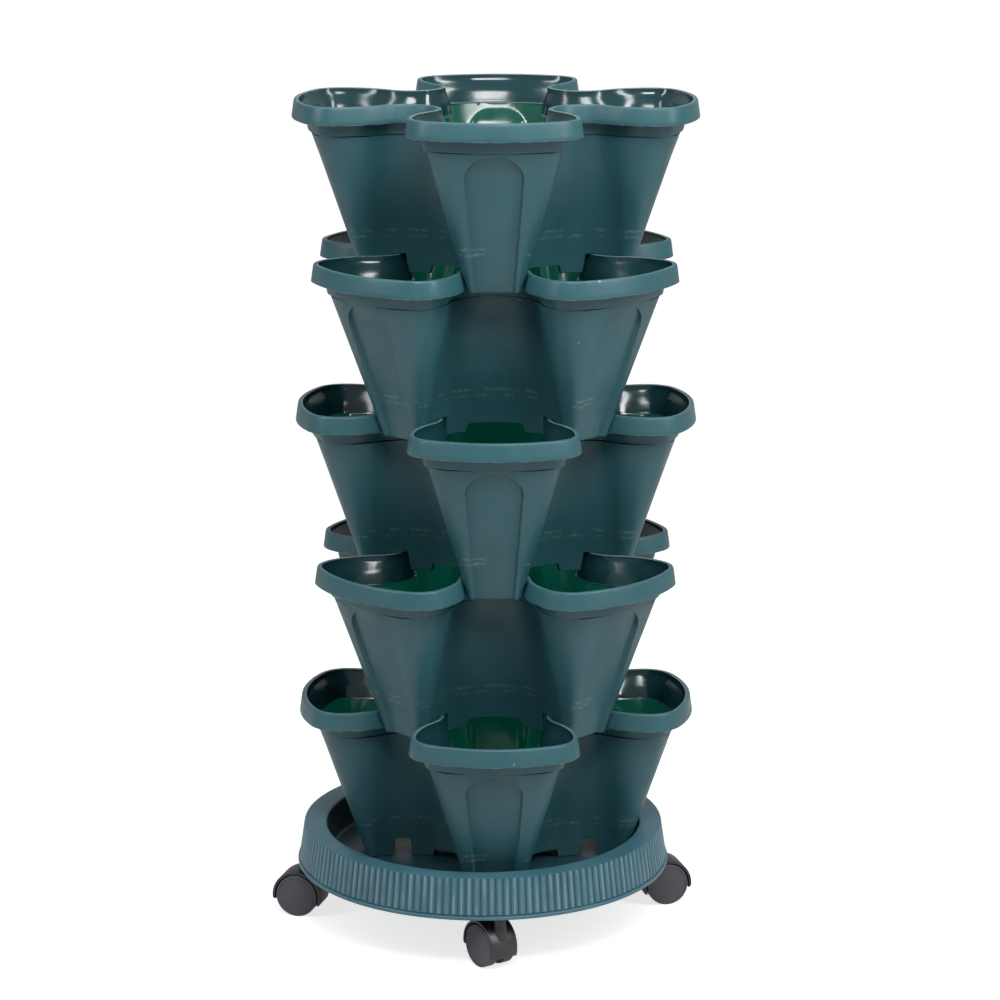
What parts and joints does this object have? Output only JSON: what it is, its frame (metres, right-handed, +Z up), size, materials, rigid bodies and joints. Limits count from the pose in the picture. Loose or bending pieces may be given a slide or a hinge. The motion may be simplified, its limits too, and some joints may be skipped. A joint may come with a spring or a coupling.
{
  "type": "vertical planter tower",
  "caption": "Vertical planter tower: petal-shaped pots stacked with alternating turns on a fluted round saucer that rolls on swivel casters.",
  "frame": {"origin": "on the floor, under the middle of the whole tower's box", "axes": "+Z up the stack; -Y to the front; the top, middle and bottom pots' petals point along X and Y"},
  "size_m": [0.3678, 0.3558, 0.7149],
  "materials": {
    "pot_plastic": "satin moulded dark teal",
    "saucer_plastic": "satin moulded teal blue",
    "caster_plastic": "satin near-black",
    "wheel_plastic": "fine-textured dark grey",
    "steel": "bright drawn steel"
  },
  "bodies": {
    "saucer": {"saucer": "saucer_plastic"},
    "pot_5": {"pot_5": "pot_plastic"},
    "pot_4": {"pot_4": "pot_plastic"},
    "pot_3": {"pot_3": "pot_plastic"},
    "pot_2": {"pot_2": "pot_plastic"},
    "pot_1": {"pot_1": "pot_plastic"},
    "front_caster": {"front_caster_hood": "caster_plastic", "front_caster_stem": "steel", "front_caster_axle": "steel"},
    "front_caster_near_wheel": {"front_caster_near_wheel": "wheel_plastic"},
    "front_caster_far_wheel": {"front_caster_far_wheel": "wheel_plastic"},
    "right_caster": {"right_caster_hood": "caster_plastic", "right_caster_stem": "steel", "right_caster_axle": "steel"},
    "right_caster_near_wheel": {"right_caster_near_wheel": "wheel_plastic"},
    "right_caster_far_wheel": {"right_caster_far_wheel": "wheel_plastic"},
    "back_caster": {"back_caster_hood": "caster_plastic", "back_caster_stem": "steel", "back_caster_axle": "steel"},
    "back_caster_near_wheel": {"back_caster_near_wheel": "wheel_plastic"},
    "back_caster_far_wheel": {"back_caster_far_wheel": "wheel_plastic"},
    "left_caster": {"left_caster_hood": "caster_plastic", "left_caster_stem": "steel", "left_caster_axle": "steel"},
    "left_caster_near_wheel": {"left_caster_near_wheel": "wheel_plastic"},
    "left_caster_far_wheel": {"left_caster_far_wheel": "wheel_plastic"}
  },
  "joints": [
    {"name": "pot_5_lift", "type": "slide", "parent": "saucer", "child": "pot_5", "axis": [0, 0, 1], "range_m": [0, 0.16]},
    {"name": "pot_4_lift", "type": "slide", "parent": "pot_5", "child": "pot_4", "axis": [0, 0, 1], "range_m": [0, 0.16]},
    {"name": "pot_3_lift", "type": "slide", "parent": "pot_4", "child": "pot_3", "axis": [0, 0, 1], "range_m": [0, 0.16]},
    {"name": "pot_2_lift", "type": "slide", "parent": "pot_3", "child": "pot_2", "axis": [0, 0, 1], "range_m": [0, 0.16]},
    {"name": "pot_1_lift", "type": "slide", "parent": "pot_2", "child": "pot_1", "axis": [0, 0, 1], "range_m": [0, 0.16]},
    {"name": "front_caster_swivel", "type": "hinge", "parent": "saucer", "child": "front_caster", "pos_m": [0.01588, -0.1518, 0.045], "axis": [0, 0, 1], "continuous": true},
    {"name": "front_caster_near_wheel_roll", "type": "hinge", "parent": "front_caster", "child": "front_caster_near_wheel", "pos_m": [0.00785, -0.14033, 0.0185], "axis": [-0.8192, -0.5736, 0], "continuous": true},
    {"name": "front_caster_far_wheel_roll", "type": "hinge", "parent": "front_caster", "child": "front_caster_far_wheel", "pos_m": [0.00785, -0.14033, 0.0185], "axis": [-0.8192, -0.5736, 0], "continuous": true},
    {"name": "right_caster_swivel", "type": "hinge", "parent": "saucer", "child": "right_caster", "pos_m": [0.14614, 0.01021, 0.045], "axis": [0, 0, 1], "continuous": true},
    {"name": "right_caster_near_wheel_roll", "type": "hinge", "parent": "right_caster", "child": "right_caster_near_wheel", "pos_m": [0.15966, 0.01384, 0.0185], "axis": [-0.2588, 0.9659, 0], "continuous": true},
    {"name": "right_caster_far_wheel_roll", "type": "hinge", "parent": "right_caster", "child": "right_caster_far_wheel", "pos_m": [0.15966, 0.01384, 0.0185], "axis": [-0.2588, 0.9659, 0], "continuous": true},
    {"name": "back_caster_swivel", "type": "hinge", "parent": "saucer", "child": "back_caster", "pos_m": [-0.01588, 0.14048, 0.045], "axis": [0, 0, 1], "continuous": true},
    {"name": "back_caster_near_wheel_roll", "type": "hinge", "parent": "back_caster", "child": "back_caster_near_wheel", "pos_m": [-0.01831, 0.15427, 0.0185], "axis": [-0.9848, -0.1736, 0], "continuous": true},
    {"name": "back_caster_far_wheel_roll", "type": "hinge", "parent": "back_caster", "child": "back_caster_far_wheel", "pos_m": [-0.01831, 0.15427, 0.0185], "axis": [-0.9848, -0.1736, 0], "continuous": true},
    {"name": "left_caster_swivel", "type": "hinge", "parent": "saucer", "child": "left_caster", "pos_m": [-0.14614, -0.02154, 0.045], "axis": [0, 0, 1], "continuous": true},
    {"name": "left_caster_near_wheel_roll", "type": "hinge", "parent": "left_caster", "child": "left_caster_near_wheel", "pos_m": [-0.15966, -0.01792, 0.0185], "axis": [-0.2588, -0.9659, 0], "continuous": true},
    {"name": "left_caster_far_wheel_roll", "type": "hinge", "parent": "left_caster", "child": "left_caster_far_wheel", "pos_m": [-0.15966, -0.01792, 0.0185], "axis": [-0.2588, -0.9659, 0], "continuous": true}
  ]
}
